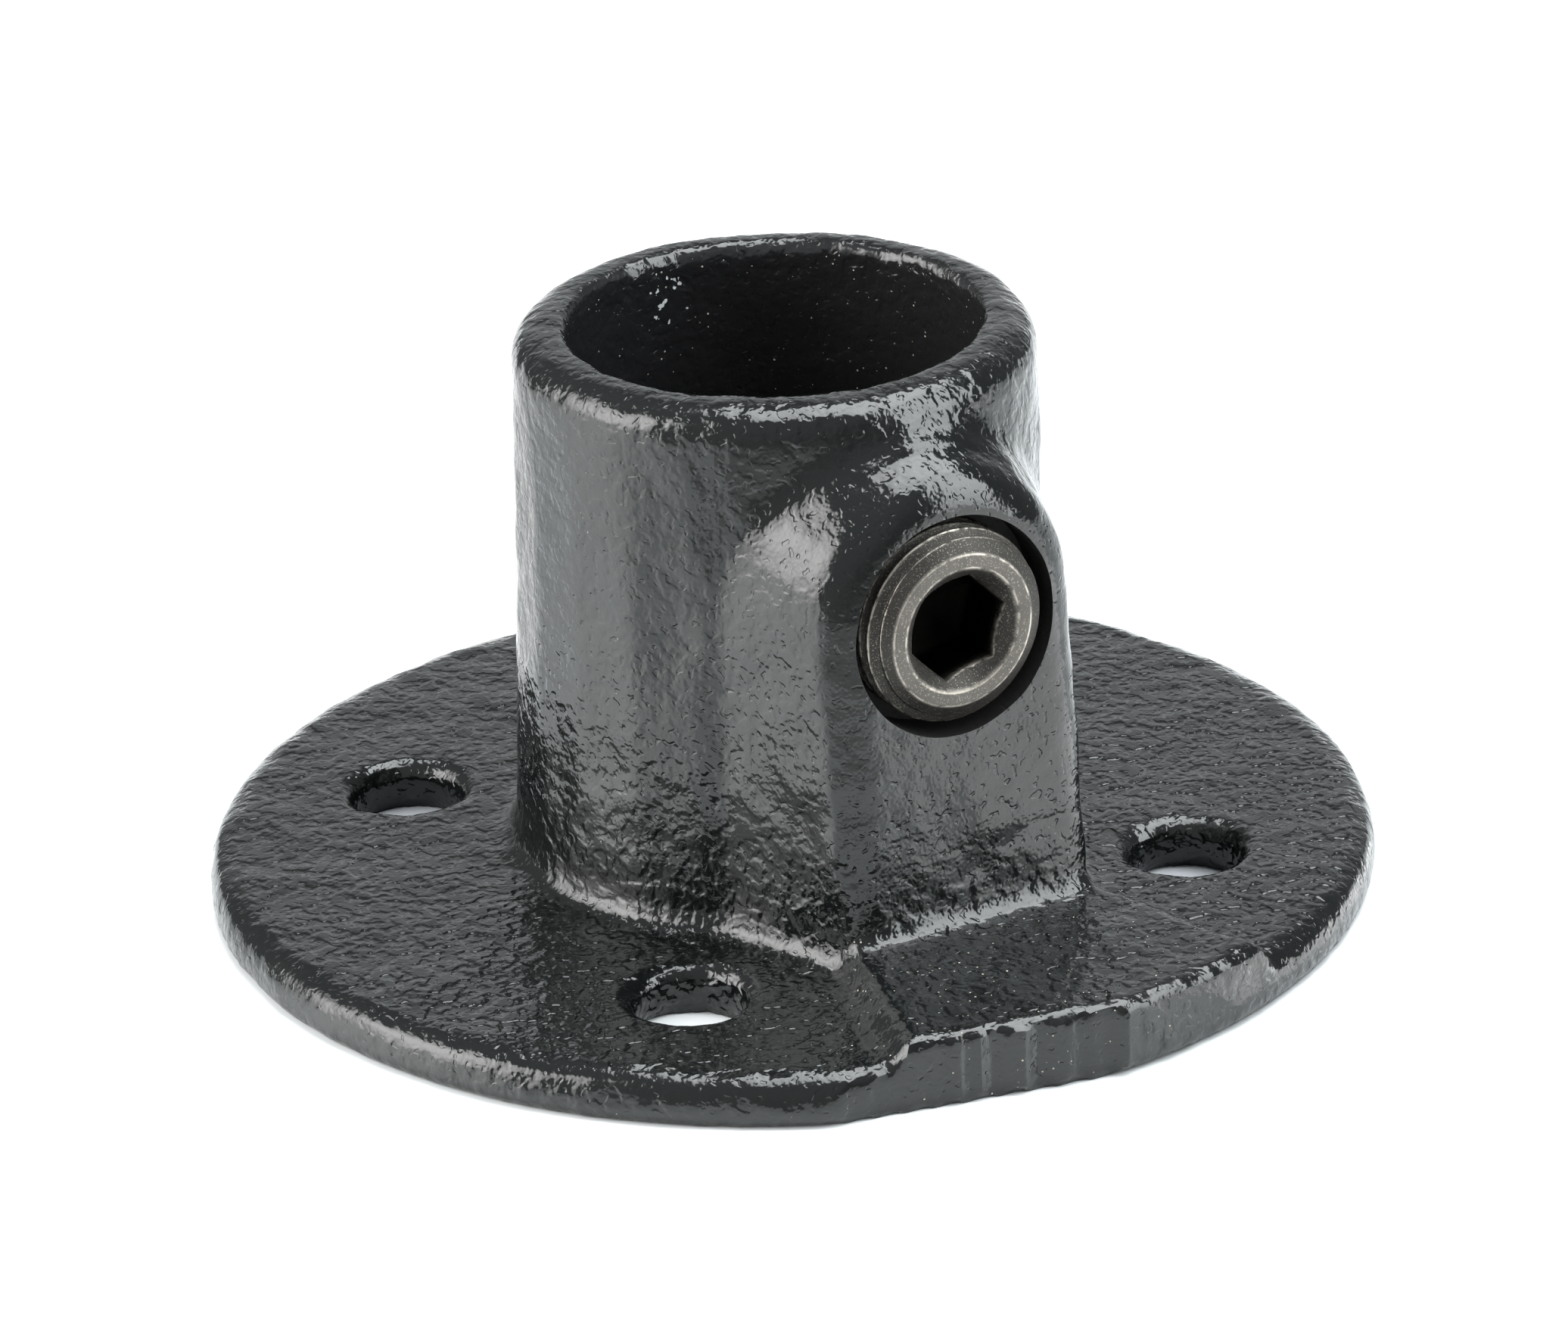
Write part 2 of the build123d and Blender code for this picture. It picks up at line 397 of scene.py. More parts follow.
def closed_grid(name, grid, first_pole, last_pole):
    """A closed mesh: rows of points that go round, and a fan from a pole at each end."""
    rows, columns = grid.shape[:2]
    points = np.vstack([grid.reshape(-1, 3), first_pole, last_pole])
    here = np.arange(rows * columns).reshape(rows, columns)
    beside = np.roll(here, -1, axis=1)
    quads = np.stack([here[:-1], here[1:], beside[1:], beside[:-1]], axis=-1).reshape(-1, 4)
    first, last = rows * columns, rows * columns + 1
    start = [[first, a, b] for a, b in zip(here[0].tolist(), beside[0].tolist())]
    end = [[last, b, a] for a, b in zip(here[-1].tolist(), beside[-1].tolist())]
    mesh = bpy.data.meshes.new(name)
    mesh.from_pydata((points * MM).tolist(), [], quads.tolist() + start + end)
    mesh.polygons.foreach_set("use_smooth", np.ones(len(mesh.polygons), dtype=bool))
    mesh.update()
    return mesh


print(f"thread: pitch {PITCH:.3f} mm, {THREAD_DEPTH:.2f} mm deep")

# %% [markdown]
# ## The casting's even mesh
# The CAD solid already has every fillet, but its mesh is long thin triangles. A
# merged copy goes through the Remesh modifier, which lays even squares of a little
# over half a millimetre over the same shape. A few rounds of relaxing then melt the
# corners, as sand and paint do.

# %% Merging, modifying and relaxing
SAME_POINT = 0.0005             # points nearer than this are one
RELAX_SHARES = (0.5, -0.52)     # towards the neighbours' mean, then back


def merged_copy(node, name):
    """A copy of a CAD node's mesh in which points at one place are one point."""
    mesh = frame["nodes"][node].data.copy()
    mesh.name = name
    mesh.materials.clear()
    cells = bmesh.new()
    cells.from_mesh(mesh)
    bmesh.ops.remove_doubles(cells, verts=cells.verts, dist=SAME_POINT * MM)
    cells.to_mesh(mesh)
    cells.free()
    return mesh


def solved(mesh, kind, **settings):
    """The mesh that one modifier makes of this one, worked out on a passing object."""
    carrier = put_in_scene("carrier", mesh)
    modifier = carrier.modifiers.new("step", kind)
    for name, value in settings.items():
        setattr(modifier, name, value)
    evaluated = carrier.evaluated_get(bpy.context.evaluated_depsgraph_get())
    result = bpy.data.meshes.new_from_object(evaluated)
    bpy.data.objects.remove(carrier)
    return result


def relaxed(points, edges, rounds):
    """Move every point half the way to the mean of its neighbours, then back by a little
    more. That pair melts corners but leaves the size of the whole, round after round."""
    here, there = np.concatenate([edges, edges[:, ::-1]]).T
    count = np.bincount(here, minlength=len(points))
    for share in RELAX_SHARES * rounds:
        total = [np.bincount(here, points[there, axis], len(points)) for axis in range(3)]
        points = points + share * (np.column_stack(total) / count[:, None] - points)
    return points


cast_solid = merged_copy("base_casting", "cast_solid")
print("the casting's solid:", len(cast_solid.vertices), "points once merged")

# %% [markdown]
# The screw's hole is bored and tapped later, through skin and paint, and its edge
# stays crisp. So a plug fills it in the copy, and it is cut again once the skin is
# made. The plug's front follows the boss and its back follows the bore.
#
# The boss's front has a formula of its own. It is a plane that leans back, and along
# its arched border it rolls over into the sides with a larger radius than the
# solid's, because sand and paint make more of a corner.

# %% The boss's front and the plug for its hole
SCREW_PROUD = 1.1                               # the screw's face stands this far beyond the boss
MOUTH_R, MOUTH_DEPTH = 9.5, 4.0
PLUG_SPARE = 0.3                                # the plug reaches this far past the mouth's wall
ARCH_R, ARCH_RISE, FOOT_HALF = 11.2, 1.1, 12.3
BOSS_ROUNDING = 4.2                             # the solid has 3 mm
FACE_LEAN, SIDE_SLOPE = radians(3.0), radians(70.0)


def inside_border(x, z):
    """Distance in from the border of the boss's front: an arch on two leaning sides."""
    rise = z - SCREW_Z - ARCH_RISE
    half = ARCH_R + (FOOT_HALF - ARCH_R) * np.clip(-rise, 0, None) / (SCREW_Z + ARCH_RISE)
    return np.where(rise > 0, ARCH_R - np.hypot(x, rise), half - np.abs(x))


def boss_front(x, z):
    """How far out the boss's front lies: a leaning plane that rolls over into the side
    along a circle, R - sqrt(R^2 - s^2), where s counts from the start of the rounding."""
    passed = BOSS_ROUNDING * np.tan(SIDE_SLOPE / 2) - inside_border(x, z)
    round_end = BOSS_ROUNDING * np.sin(SIDE_SLOPE)
    on_circle = np.clip(passed, 0, round_end)
    drop = BOSS_ROUNDING - np.sqrt(BOSS_ROUNDING ** 2 - on_circle ** 2)
    drop += np.clip(passed - round_end, 0, None) * np.tan(SIDE_SLOPE)
    return SCREW_FACE + SCREW_PROUD + (z - SCREW_Z) * np.tan(FACE_LEAN) + drop


def hole_plug():
    """Rings from the middle of the boss's front to the rim, then back along the bore."""
    ring = between(0, MOUTH_R + PLUG_SPARE, 12)
    radius = np.vstack([ring, ring[::-1]])
    grid = on_screw_axis(0.0, radius, angle)
    x, z = grid[..., 0], grid[..., 2]
    in_front = np.arange(len(radius))[:, None] < len(ring)
    grid[..., 1] = np.where(in_front, boss_front(x, z), -np.sqrt(BORE_R ** 2 - x ** 2))
    front_pole = (0.0, boss_front(0.0, SCREW_Z), SCREW_Z)
    return closed_grid("hole_plug", grid, front_pole, (0.0, -BORE_R, SCREW_Z))


print(f"boss's front at y {boss_front(0.0, SCREW_Z):.1f}, the screw's face at {SCREW_FACE:.1f}")

# %% [markdown]
# The remeshed and relaxed skin is then shaped in three places. What stands out
# beyond the formula of the boss's front is drawn back to it, apart from the foot.
# The lower part of the front spreads forward a little towards its foot. And the
# faint ridge that relaxing leaves under the edges is pressed flat.

# %% The casting's even mesh
SQUARE = 0.6                        # side of the new mesh's squares
RELAX_ROUNDS = 9
FOOT_TOP, FOOT_SPREAD = 20.0, 0.0029    # the spread is this times the square of the depth

filled = bmesh.new()
filled.from_mesh(cast_solid)
filled.from_mesh(hole_plug())
filled.to_mesh(cast_solid)
filled.free()
skin = solved(cast_solid, "REMESH", mode="VOXEL", voxel_size=SQUARE * MM, use_smooth_shade=True)
edges = np.empty(2 * len(skin.edges), dtype=np.int32)
skin.edges.foreach_get("vertices", edges)
points = relaxed(read_points(skin), edges.reshape(-1, 2), RELAX_ROUNDS)
x, y, z = points.T
on_boss = step(7.5, 10, z) * step(-2.4, -0.7, inside_border(x, z)) * step(23, 24, -y)
points[:, 1] = y + on_boss * np.clip(boss_front(x, z) - y, 0, None)
on_face = step(26.0, 27.0, -y) * step(6.3, 8.8, z)
points[:, 1] -= on_face * FOOT_SPREAD * np.clip(FOOT_TOP - z, 0, None) ** 2
points[:, 2] = np.maximum(z, 0)
write_points(skin, points)
print(f"casting: {len(skin.polygons)} squares of about {SQUARE} mm")

# %% [markdown]
# The ground patch on the rim is where the iron ran in. Once it had cooled, the
# gate was broken off and its stump ground flat with a coarse wheel, which left
# upright furrows. All the other faces get the mould's waves, apart from the
# underside, which has to sit flat.

# %% Waves, furrows and the sag of the paint
LUMP_SIZES = ((11.0, 0.05), (5.0, 0.03))                   # wavelength and height
GRAIN_SIZES = ((2.6, 0.018), (1.7, 0.012))
COAT = 0.08                                                # the paint's own thickness
GATE_TURN, GATE_CHORD = radians(-13.0), 48.3               # the ground patch, as in the CAD
FURROW_SIZES = ((3.4, 0.13), (1.8, 0.14))
GRAIN_SEED, FURROW_SEED = 40, 7                            # the lumps' seeds start at 0


def furrows(across, wavelength, seed):
    """Waves along one line: random sines of the distance across the patch."""
    line = np.zeros((len(across), 3))
    line[:, 0] = across
    return waves(line, wavelength, seed, count=12)


def bends(normals, z):
    """1 where a face turns from upright to level, on rounded edges and in inner corners,
    and 0 on the faces and on the collar's rim."""
    upward = np.abs(normals[:, 2])
    return step(0.25, 0.45, upward) * (1 - step(0.85, 0.97, upward)) * (1 - step(40, 46, z))


gate_out = np.array([sin(GATE_TURN), -cos(GATE_TURN), 0])
gate_across = np.array([cos(GATE_TURN), sin(GATE_TURN), 0])
normals = read_normals(skin)
z = points[:, 2]
on_patch = step(GATE_CHORD - 0.45, GATE_CHORD - 0.1, points @ gate_out)
on_gate = on_patch * step(0.9, 0.99, normals @ gate_out)
coarse = 1.2 - 0.65 * step(5, 24, z) + 0.5 * step(46.5, 48.5, z)
coarse *= 1 - 0.6 * bends(normals, z)
lumps = sum(size * waves(points, wavelength, seed)
            for seed, (wavelength, size) in enumerate(LUMP_SIZES))
grains = sum(size * waves(points, wavelength, GRAIN_SEED + row, count=60)
             for row, (wavelength, size) in enumerate(GRAIN_SIZES))
grooves = sum(size * furrows(points @ gate_across, wavelength, FURROW_SEED + row)
              for row, (wavelength, size) in enumerate(FURROW_SIZES))
height = COAT + (lumps + coarse * grains) * (1 - 0.8 * on_gate) + grooves * on_gate
points = points + (height * step(0.1, 0.9, z))[:, None] * normals
write_points(skin, points)
print(f"skin moved by up to {np.abs(height).max():.2f} mm")

# %% [markdown]
# Now the hole is cut through the finished skin, as the machinist does it: a plain
# bore as deep as the mouth, and a thread from there into the tube's bore. The
# cutter is the screw's own thread, made larger by the running clearance.

# %% Cutting the tapped hole
CLEARANCE = 0.05
CUTTER_START, TAPPED_LENGTH = -2.0, 9.6     # from outside the boss, and on past the mouth
SHARP_ANGLE = radians(35)                   # a sharper edge keeps its crease


def hole_cutter():
    """Rows from outside the boss down the mouth, in to the thread and into the bore."""
    columns = angle[::2]
    floor = SCREW_PROUD + MOUTH_DEPTH
    end = floor + TAPPED_LENGTH
    start = np.array([[CUTTER_START], [floor]])
    depth = between(floor, end, 64)
    depths = np.vstack([start, start[1:], depth]) + 0 * columns
    mouth = np.full((2, len(columns)), MOUTH_R)
    tapped = thread(np.vstack([start[1:], depth]), columns) + CLEARANCE
    grid = on_screw_axis(depths, np.vstack([mouth, tapped]), columns)
    poles = on_screw_axis(np.array([CUTTER_START, end]), np.zeros(2), np.zeros(2))
    return closed_grid("hole_cutter", grid, poles[0], poles[1])


cutter = put_in_scene("cutter", hole_cutter())
skin = solved(skin, "BOOLEAN", operation="DIFFERENCE", solver="EXACT", object=cutter)
bpy.data.objects.remove(cutter)
skin.polygons.foreach_set("use_smooth", np.ones(len(skin.polygons), dtype=bool))
skin.set_sharp_from_angle(angle=SHARP_ANGLE)
skin.name = "cast_skin"
triangles = sum(len(face.vertices) - 2 for face in skin.polygons)
print(f"casting with its tapped hole: {triangles} triangles")

# %% [markdown]
# ## Black paint on the casting
# Such fittings are dipped or sprayed in black stoving paint. It is a dielectric
# with an index near 1.5, so it mirrors about a twentieth of what faces it, and far
# more at a glance. That is why a black part can look grey and almost white at its
# edges. Its finish isn't the same all over, and attributes on the mesh say where.
#
# "grain" scales the paint's ripple. It is coarse on the flange, most of all on the
# gate's side, where hot iron wore the sand. It is smoother up the collar and on the
# flange's side, and faint on the boss's face, on the ground patch and wherever the
# paint drew tight over an edge or into a corner. "dust" is the film of dust in the
# bore and on the front of the flange, where hands reach, and "specks" is how many
# coarser grains have settled there. High in the bore, across from the boss, the
# paint has pale flecks, and one more attribute is 1 where they lie.

# %% Where the paint is grainy and where it is dusty
HANDLED_PLACE = (-4.0, -37.0, 4.0)      # the flange's front, where dust has settled
FLECK_PLACE = (-0.6, 17.5, 46.5)      # high in the bore, across from the boss


def store(mesh, name, values):
    """Keep one number per point under a name that a material can read."""
    attribute = mesh.attributes.new(name, "FLOAT", "POINT")
    attribute.data.foreach_set("value", np.asarray(values, dtype=np.float32))


points = read_points(skin)
x, y, z = points.T
from_axis = np.hypot(x, y)
on_face = step(26.0, 27.0, -y) * step(7, 9, z)
on_patch = step(GATE_CHORD - 0.6, GATE_CHORD - 0.2, points @ gate_out)
near_gate = 1 - step(-25, 25, y)
on_pad = step(5.9, 6.3, z) * (1 - step(7, 8, z))
on_side = step(47.5, 49.5, from_axis)
grain = 0.75 + (0.75 + 0.75 * near_gate) * (1 - step(5, 18, z)) + 0.3 * step(46.5, 48.5, z)
grain *= (1 - 0.62 * on_face) * (1 - 0.65 * bends(read_normals(skin), z)) * (1 - 0.75 * on_patch)
grain *= (1 - 0.3 * on_pad) * (1 - 0.5 * on_side)
store(skin, "grain", grain)

to_front = np.linalg.norm(points - HANDLED_PLACE, axis=1)
in_front = (1 - step(10, 24, to_front)) * (1 - step(6.5, 9, z))
in_bore = step(0.15, 0.6, BORE_R + 0.6 - from_axis)
to_flecks = np.linalg.norm(points - FLECK_PLACE, axis=1)
store(skin, "dust", np.maximum(0.15 * in_front, in_bore))
store(skin, "specks", np.maximum(in_front, 0.7 * in_bore))
store(skin, "pale_flecks", in_bore * (1 - step(1.5, 5.5, to_flecks)))
print(f"grain from {grain.min():.2f} to {grain.max():.2f}")

# %% [markdown]
# The paint follows the sand's grain. Its relief is a ripple of about a millimetre
# with scattered pits and a finer peel, too small to be worth a mesh, so it is a
# bump. The heights are added up in millimetres, and the Bump node's distance of one
# millimetre turns them into slopes. Between two grains the paint lies level, so the
# ripple's crests and troughs are flattened.

# %% The paint's relief
RIPPLE, PIT, PEEL = 1.15, 0.55, 0.3             # spacing, the real peel being finer still
RIPPLE_HEIGHT, PIT_DEPTH, PEEL_HEIGHT = 0.06, 0.03, 0.018


def paint_relief(tree, place):
    """Bump whose height is grain times ripple, less the pits, plus the peel."""
    grain = add(tree, "Attribute", attribute_name="grain").outputs["Fac"]
    ripple = add(tree, "TexNoise", {"Vector": place, "Scale": per(RIPPLE), "Detail": 1.0,
                                    "Roughness": 0.4})
    ripple = add(tree, "MapRange", {"Value": ripple, "From Min": 0.34, "From Max": 0.6},
                 interpolation_type="SMOOTHSTEP")
    hollows = add(tree, "TexNoise", {"Vector": place, "Scale": per(PIT), "Detail": 0.0})
    pit = add(tree, "MapRange", {"Value": hollows, "From Min": 0.22, "From Max": 0.38,
                                 "To Min": -1.0, "To Max": 0.0}, interpolation_type="SMOOTHSTEP")
    peel = add(tree, "TexNoise", {"Vector": place, "Scale": per(PEEL), "Detail": 0.0})
    high = add(tree, "Math", {0: ripple, 1: grain}, operation="MULTIPLY")
    high = add(tree, "Math", {0: high, 1: RIPPLE_HEIGHT}, operation="MULTIPLY")
    high = add(tree, "Math", {0: pit, 1: PIT_DEPTH, 2: high}, operation="MULTIPLY_ADD")
    high = add(tree, "Math", {0: peel, 1: PEEL_HEIGHT, 2: high}, operation="MULTIPLY_ADD")
    return add(tree, "Bump", {"Height": high, "Strength": 1.0, "Distance": MM})


print(f"ripple every {RIPPLE} mm and {RIPPLE_HEIGHT} mm high at grain 1")

# %% [markdown]
# Dust lies as single grains. A Voronoi texture scatters one point in each cell. A
# cell's random colour says whether it holds a grain and how pale it is, and the
# distance to its point gives the grain its outline. Real dust is finer, but would
# not show at all. Noise of a few millimetres makes it drift together.

# %% Specks of dust
SPECK, SPECK_RADIUS, DRIFT = 0.38, 0.23, 5.0    # spacing, radius as a share of it, and drifts


def settled_specks(tree, place):
    """Where a speck lies, 0 or 1, and its colour. A cell whose chance is above the least
    holds one, and the higher the chance, the larger the speck."""
    gritty = add(tree, "Attribute", attribute_name="specks").outputs["Fac"]
    cells = add(tree, "TexVoronoi", {"Vector": place, "Scale": per(SPECK)})
    chance = add(tree, "SeparateColor", {"Color": cells.outputs["Color"]})
    drift = add(tree, "TexNoise", {"Vector": place, "Scale": per(DRIFT), "Detail": 3.0})
    drift = add(tree, "MapRange", {"Value": drift, "From Min": 0.42, "From Max": 0.68})
    least = add(tree, "MapRange", {"Value": gritty, "To Min": 0.99, "To Max": 0.87})
    least = add(tree, "Math", {0: drift, 1: -0.09, 2: least}, operation="MULTIPLY_ADD")
    full = add(tree, "Math", {0: least, 1: 0.12}, operation="ADD")
    size = add(tree, "MapRange", {"Value": chance.outputs["Red"], "From Min": least,
                                  "From Max": full, "To Min": 0.0, "To Max": SPECK_RADIUS})
    speck = add(tree, "Math", {0: cells.outputs["Distance"], 1: size}, operation="LESS_THAN")
    grey = add(tree, "Mix", {"Factor": chance.outputs["Green"], 6: linear("#4b463e"),
                             7: linear("#a8a297")}, data_type="RGBA")
    return speck.outputs[0], grey.outputs[2]


print(f"a chance of a speck every {SPECK} mm")

# %% [markdown]
# The material mixes all this. Under the dust the paint is nearly black and glossy,
# with a haze that comes and goes over a centimetre or two. Inside the tapped hole
# there is no paint but dark, oily iron, rough from the tap. It is found by its
# place: near the screw's axis and in front of the bore.

# %% Material: black stoving paint over sand-cast iron
HAZE, FLECK = 14.0, 0.9         # spacing of the haze, and size of the pale flecks


def in_tapped_hole(tree, place):
    """1 within the mouth's radius of the screw's axis and outside the bore, else 0."""
    offset = add(tree, "VectorMath", {0: place, 1: (0.0, 0.0, SCREW_Z * MM)}, operation="SUBTRACT")
    sideways = add(tree, "VectorMath", {0: offset, 1: (1.0, 0.0, 1.0)}, operation="MULTIPLY")
    reach = add(tree, "VectorMath", {0: sideways}, operation="LENGTH").outputs["Value"]
    near_axis = add(tree, "Math", {0: reach, 1: (MOUTH_R + 0.01) * MM}, operation="LESS_THAN")
    depth = add(tree, "SeparateXYZ", {"Vector": place}).outputs["Y"]
    forward = add(tree, "Math", {0: depth, 1: -(BORE_R + 0.1) * MM}, operation="LESS_THAN")
    return add(tree, "Math", {0: near_axis, 1: forward}, operation="MULTIPLY")


def black_stoving_paint():
    """Gloss black paint under a film and specks of dust, with pale flecks high in the bore."""
    material, tree = new_material("black_stoving_paint")
    place = add(tree, "TexCoord").outputs["Object"]
    dusty = add(tree, "Attribute", attribute_name="dust").outputs["Fac"]
    flecked = add(tree, "Attribute", attribute_name="pale_flecks").outputs["Fac"]
    speck, grey = settled_specks(tree, place)
    bored = in_tapped_hole(tree, place)

    shade = add(tree, "Mix", {"Factor": dusty, 6: linear("#0b0d0d"), 7: linear("#1b1b1c")},
                data_type="RGBA")
    shade = add(tree, "Mix", {"Factor": speck, 6: shade.outputs[2], 7: grey}, data_type="RGBA")
    fleck = add(tree, "TexNoise", {"Vector": place, "Scale": per(FLECK), "Detail": 2.0})
    fleck = add(tree, "Math", {0: flecked, 1: 0.36, 2: fleck}, operation="MULTIPLY_ADD")
    fleck = add(tree, "Math", {0: fleck, 1: 0.98}, operation="GREATER_THAN")
    shade = add(tree, "Mix", {"Factor": fleck, 6: shade.outputs[2], 7: linear("#b9bcbc")},
                data_type="RGBA")
    shade = add(tree, "Mix", {"Factor": bored, 6: shade.outputs[2], 7: linear("#0a0908")},
                data_type="RGBA")

    haze = add(tree, "TexNoise", {"Vector": place, "Scale": per(HAZE), "Detail": 3.0})
    rough = add(tree, "MapRange", {"Value": haze, "From Min": 0.3, "From Max": 0.75,
                                   "To Min": 0.09, "To Max": 0.18})
    rough = add(tree, "Math", {0: dusty, 1: 0.05, 2: rough}, operation="MULTIPLY_ADD")
    rough = add(tree, "Mix", {"Factor": speck, 2: rough, 3: 0.8}, data_type="FLOAT")
    rough = add(tree, "Mix", {"Factor": bored, 2: rough, 3: 0.7}, data_type="FLOAT")
    paint = add(tree, "BsdfPrincipled", {"Base Color": shade.outputs[2], "Roughness": rough,
                                         "IOR": 1.5, "Normal": paint_relief(tree, place)})
    add(tree, "OutputMaterial", {"Surface": paint})
    return material


casting = put_in_scene("dressed_casting", skin)
casting.data.materials.append(black_stoving_paint())
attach(casting, "casting")
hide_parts("base_casting")
print("paint on", casting.name)

# %% [markdown]
# ## Set screw
# A set screw is turned and threaded from steel bar, so every section through its
# axis is the same profile, carried round. Only two things vary with the angle: the
# thread, which slides along as it turns, and the six flats of the socket. The
# whole screw is thus one grid: rows follow the profile from the middle of the
# socket's floor, out over the end face, along the thread and into the hollow tip,
# and columns go round.

# %% The set screw's grid
END_R, CHAMFER = 6.6, 1.2       # flat of each end, and the chamfer's length
SOCKET_MOUTH_R, SOCKET_HALF, SOCKET_DEPTH = 5.3, 4.0, 6.0
SOCKET_CONE = 1.0               # the drill's point below the socket's floor
CUP_R, CUP_DEPTH = 5.0, 1.0
EDGE_BREAK = 0.07               # every turned edge is broken by this much
BURR, BURR_LENGTH, BURR_SEED = 0.07, 1.1, 21    # the broach leaves the socket's lip uneven


def hexagon(angle):
    """Radius of a hexagon: half its width over the cosine of the angle from the nearest flat."""
    return SOCKET_HALF / np.cos((angle - SOCKET_TURN) % (pi / 3) - pi / 6)


def stretch(depth, radius):
    """A stretch of the profile as full rows: a depth and a radius for every column."""
    return np.stack(np.broadcast_arrays(depth, radius, angle)[:2])


def screw_profile():
    """Depths below the outer face and radii, row by row from the socket's floor to the tip."""
    flat = hexagon(angle)
    burr = BURR * furrows(angle * SOCKET_MOUTH_R, BURR_LENGTH, BURR_SEED)
    lip = SOCKET_MOUTH_R - flat - burr
    down = between(0, 1, 5)
    up = between(0, 1, 10)
    out = between(0, 1, 7)
    cone = flat + burr + lip * out
    depth = between(0, SCREW_LENGTH, 130)
    chamfer = END_R + (THREAD_R - END_R) / CHAMFER * np.minimum(depth, SCREW_LENGTH - depth)
    hollow = between(CUP_R, 0.4, 8)
    stretches = [
        stretch(SOCKET_DEPTH + SOCKET_CONE * (1 - down), down * flat),
        stretch(SOCKET_DEPTH + (lip - SOCKET_DEPTH) * up, flat),
        stretch(SOCKET_MOUTH_R - cone + EDGE_BREAK * out ** 6, cone),
        stretch(0.0, between(SOCKET_MOUTH_R, END_R, 9)),
        stretch(depth, np.minimum(thread(depth, angle), chamfer)),
        stretch(SCREW_LENGTH, between(END_R, CUP_R, 6)),
        stretch(SCREW_LENGTH - CUP_DEPTH * (1 - hollow / CUP_R), hollow),
    ]
    return np.concatenate(stretches, axis=1)


def softened(rows):
    """Mean of each row and its two neighbours, weighted 1-2-1, which breaks the edges."""
    soft = rows.copy()
    soft[1:-1] = (rows[:-2] + 2 * rows[1:-1] + rows[2:]) / 4
    return soft


depths, radii = screw_profile()
grid = on_screw_axis(softened(depths), softened(radii), angle)
pole_depths = np.array([SOCKET_DEPTH + SOCKET_CONE, SCREW_LENGTH - CUP_DEPTH])
poles = on_screw_axis(pole_depths, np.zeros(2), np.zeros(2))
screw_mesh = closed_grid("set_screw_turned", grid, poles[0], poles[1])
print(f"set screw: {grid.shape[0]} rows of {AROUND} points")

# %% [markdown]
# The steel is bare. It came off the lathe with a satin face, while the scale on the
# thread stayed darker. Deep in the socket the steel is painted near-black, which is
# painted shade. How sharply the profile bends outward at each point is kept as the
# attribute "edge", and where it is high the finish is painted bright: partly wear,
# partly a painted highlight.

# %% Where the steel is worn and its edges painted bright
def outward_bend(depths, radii):
    """Sine of the turn from one stretch of the profile to the next, where it is convex."""
    run, rise = np.diff(depths, axis=0), np.diff(radii, axis=0)
    size = np.hypot(run, rise) + 1e-9
    run, rise = run / size, rise / size
    bend = np.zeros_like(depths)
    bend[1:-1] = rise[:-1] * run[1:] - run[:-1] * rise[1:]
    return np.clip(bend, 0, 1)


bend = outward_bend(depths, radii).ravel()
store(screw_mesh, "edge", np.append(bend, [0.0, 0.0]))
print(f"{np.mean(bend > 0.2):.0%} of the screw's points are on an edge")

# %% [markdown]
# As on the paint, small reliefs are noise and small places are found by measure.
# Depth counts from the outer face and reach from the screw's axis, both in the
# object's own coordinates, so the finish moves with the screw.

# %% Material: turned steel
TURNING, BLOTCH, BREAKUP, SPOT = 0.25, 2.5, 0.7, 0.12       # spacings; real tool marks are finer
TURNING_HEIGHT = 0.03
FACE_DEPTH = 0.12                                       # how far in the lathe's satin reaches
SOCKET_SHADE_START, SOCKET_SHADE_FULL, SOCKET_SHADE_REACH = 0.9, 2.2, 5.2          # depths and radius of the socket's painted shade


def wear_and_highlight(tree, place):
    """How far the steel is painted bright: worn edges with a painted highlight, broken up by noise,
    and small spots.
    """
    edge = add(tree, "Attribute", attribute_name="edge").outputs["Fac"]
    worn_and_lit = add(tree, "MapRange", {"Value": edge, "From Min": 0.06, "From Max": 0.45})
    broken_up = add(tree, "TexNoise", {"Vector": place, "Scale": per(BREAKUP), "Detail": 3.0})
    broken_up = add(tree, "MapRange", {"Value": broken_up, "From Min": 0.36, "From Max": 0.58})
    worn_and_lit = add(tree, "Math", {0: worn_and_lit, 1: broken_up}, operation="MULTIPLY")
    speck = add(tree, "TexNoise", {"Vector": place, "Scale": per(SPOT), "Detail": 0.0})
    spot = add(tree, "MapRange", {"Value": speck, "From Min": 0.66, "From Max": 0.74})
    return add(tree, "Math", {0: spot, 1: 0.35, 2: worn_and_lit}, operation="MULTIPLY_ADD", use_clamp=True)


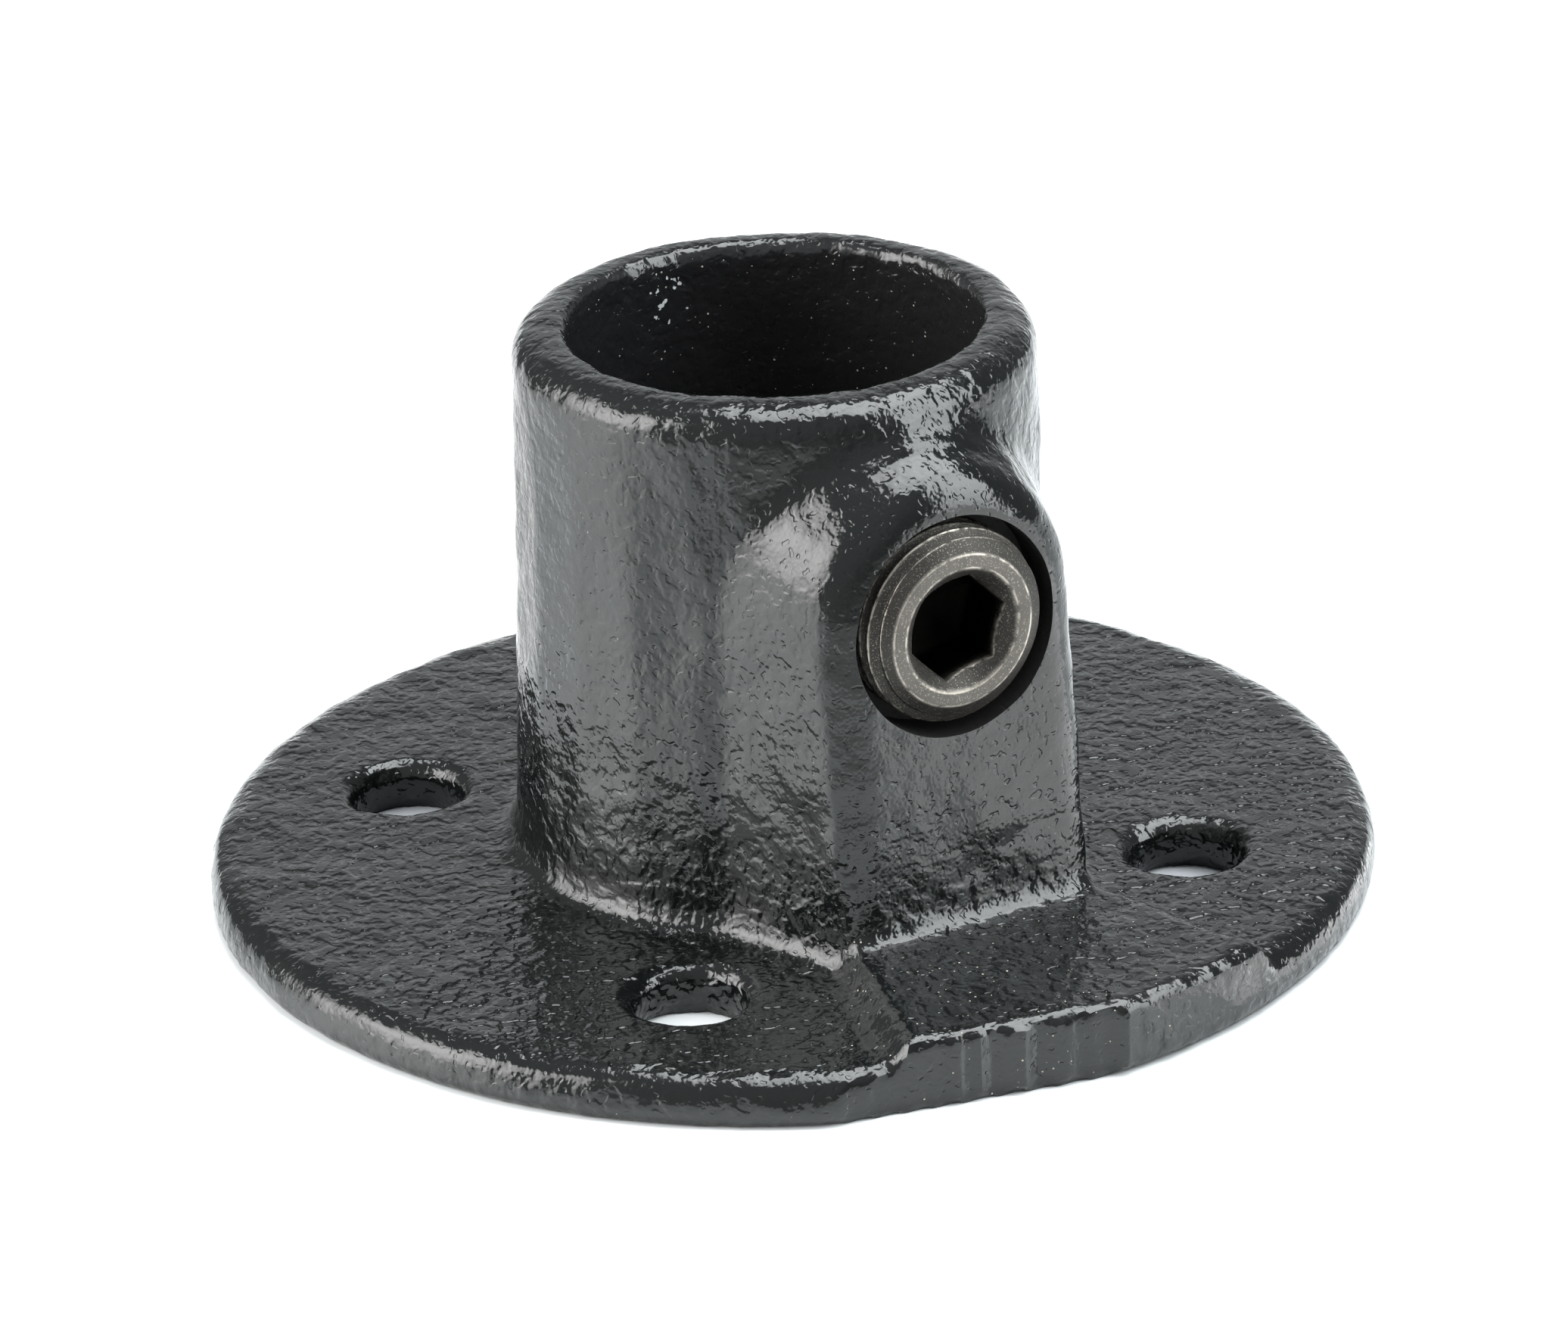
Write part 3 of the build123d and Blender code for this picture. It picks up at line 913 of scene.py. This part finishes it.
def turned_steel():
    """Satin steel with darker scale on the thread, worn edges with a painted highlight and painted
    shade deep in the socket.
    """
    material, tree = new_material("turned_steel")
    place = add(tree, "TexCoord").outputs["Object"]
    centre = (0, SCREW_FACE * MM, SCREW_Z * MM)
    about = add(tree, "VectorMath", {0: place, 1: centre}, operation="SUBTRACT")
    sideways = add(tree, "VectorMath", {0: about, 1: (1.0, 0.0, 1.0)}, operation="MULTIPLY")
    reach = add(tree, "VectorMath", {0: sideways}, operation="LENGTH").outputs["Value"]
    depth = add(tree, "SeparateXYZ", {"Vector": about}).outputs["Y"]
    grain = add(tree, "TexNoise", {"Vector": place, "Scale": per(TURNING), "Detail": 3.0})
    bump = add(tree, "Bump", {"Height": grain, "Strength": 1.0, "Distance": TURNING_HEIGHT * MM})

    blotch = add(tree, "TexNoise", {"Vector": place, "Scale": per(BLOTCH), "Detail": 4.0})
    scale = add(tree, "Mix", {"Factor": blotch, 6: linear("#33312f"), 7: linear("#4a4845")},
                data_type="RGBA")
    satin = add(tree, "Mix", {"Factor": blotch, 6: linear("#4f4d49"), 7: linear("#65625d")},
                data_type="RGBA")
    on_face = add(tree, "Math", {0: depth, 1: FACE_DEPTH * MM}, operation="LESS_THAN")
    shade = add(tree, "Mix", {"Factor": on_face, 6: scale.outputs[2], 7: satin.outputs[2]},
                data_type="RGBA")
    worn_and_lit = wear_and_highlight(tree, place)
    # Edges and small spots painted bright: partly wear, partly a painted highlight.
    shade = add(tree, "Mix", {"Factor": worn_and_lit, 6: shade.outputs[2], 7: linear("#a39d94")},
                data_type="RGBA")

    # Painted shade: the socket turns near-black below its lip.
    sunk = add(tree, "MapRange", {"Value": depth, "From Min": SOCKET_SHADE_START * MM,
                                  "From Max": SOCKET_SHADE_FULL * MM})
    inside = add(tree, "Math", {0: reach, 1: SOCKET_SHADE_REACH * MM}, operation="LESS_THAN")
    socket_shade = add(tree, "Math", {0: sunk, 1: inside}, operation="MULTIPLY")
    shade = add(tree, "Mix", {"Factor": socket_shade, 6: shade.outputs[2], 7: linear("#0d0c0b")},
                data_type="RGBA")
    rough = add(tree, "MapRange", {"Value": worn_and_lit, "To Min": 0.55, "To Max": 0.38})
    steel = add(tree, "BsdfPrincipled", {"Base Color": shade.outputs[2], "Metallic": 1.0,
                                         "Roughness": rough, "Normal": bump})
    add(tree, "OutputMaterial", {"Surface": steel})
    return material


screw = put_in_scene("dressed_set_screw", screw_mesh)
screw.data.materials.append(turned_steel())
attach(screw, "screw")
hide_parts("set_screw")
print("steel on", screw.name)
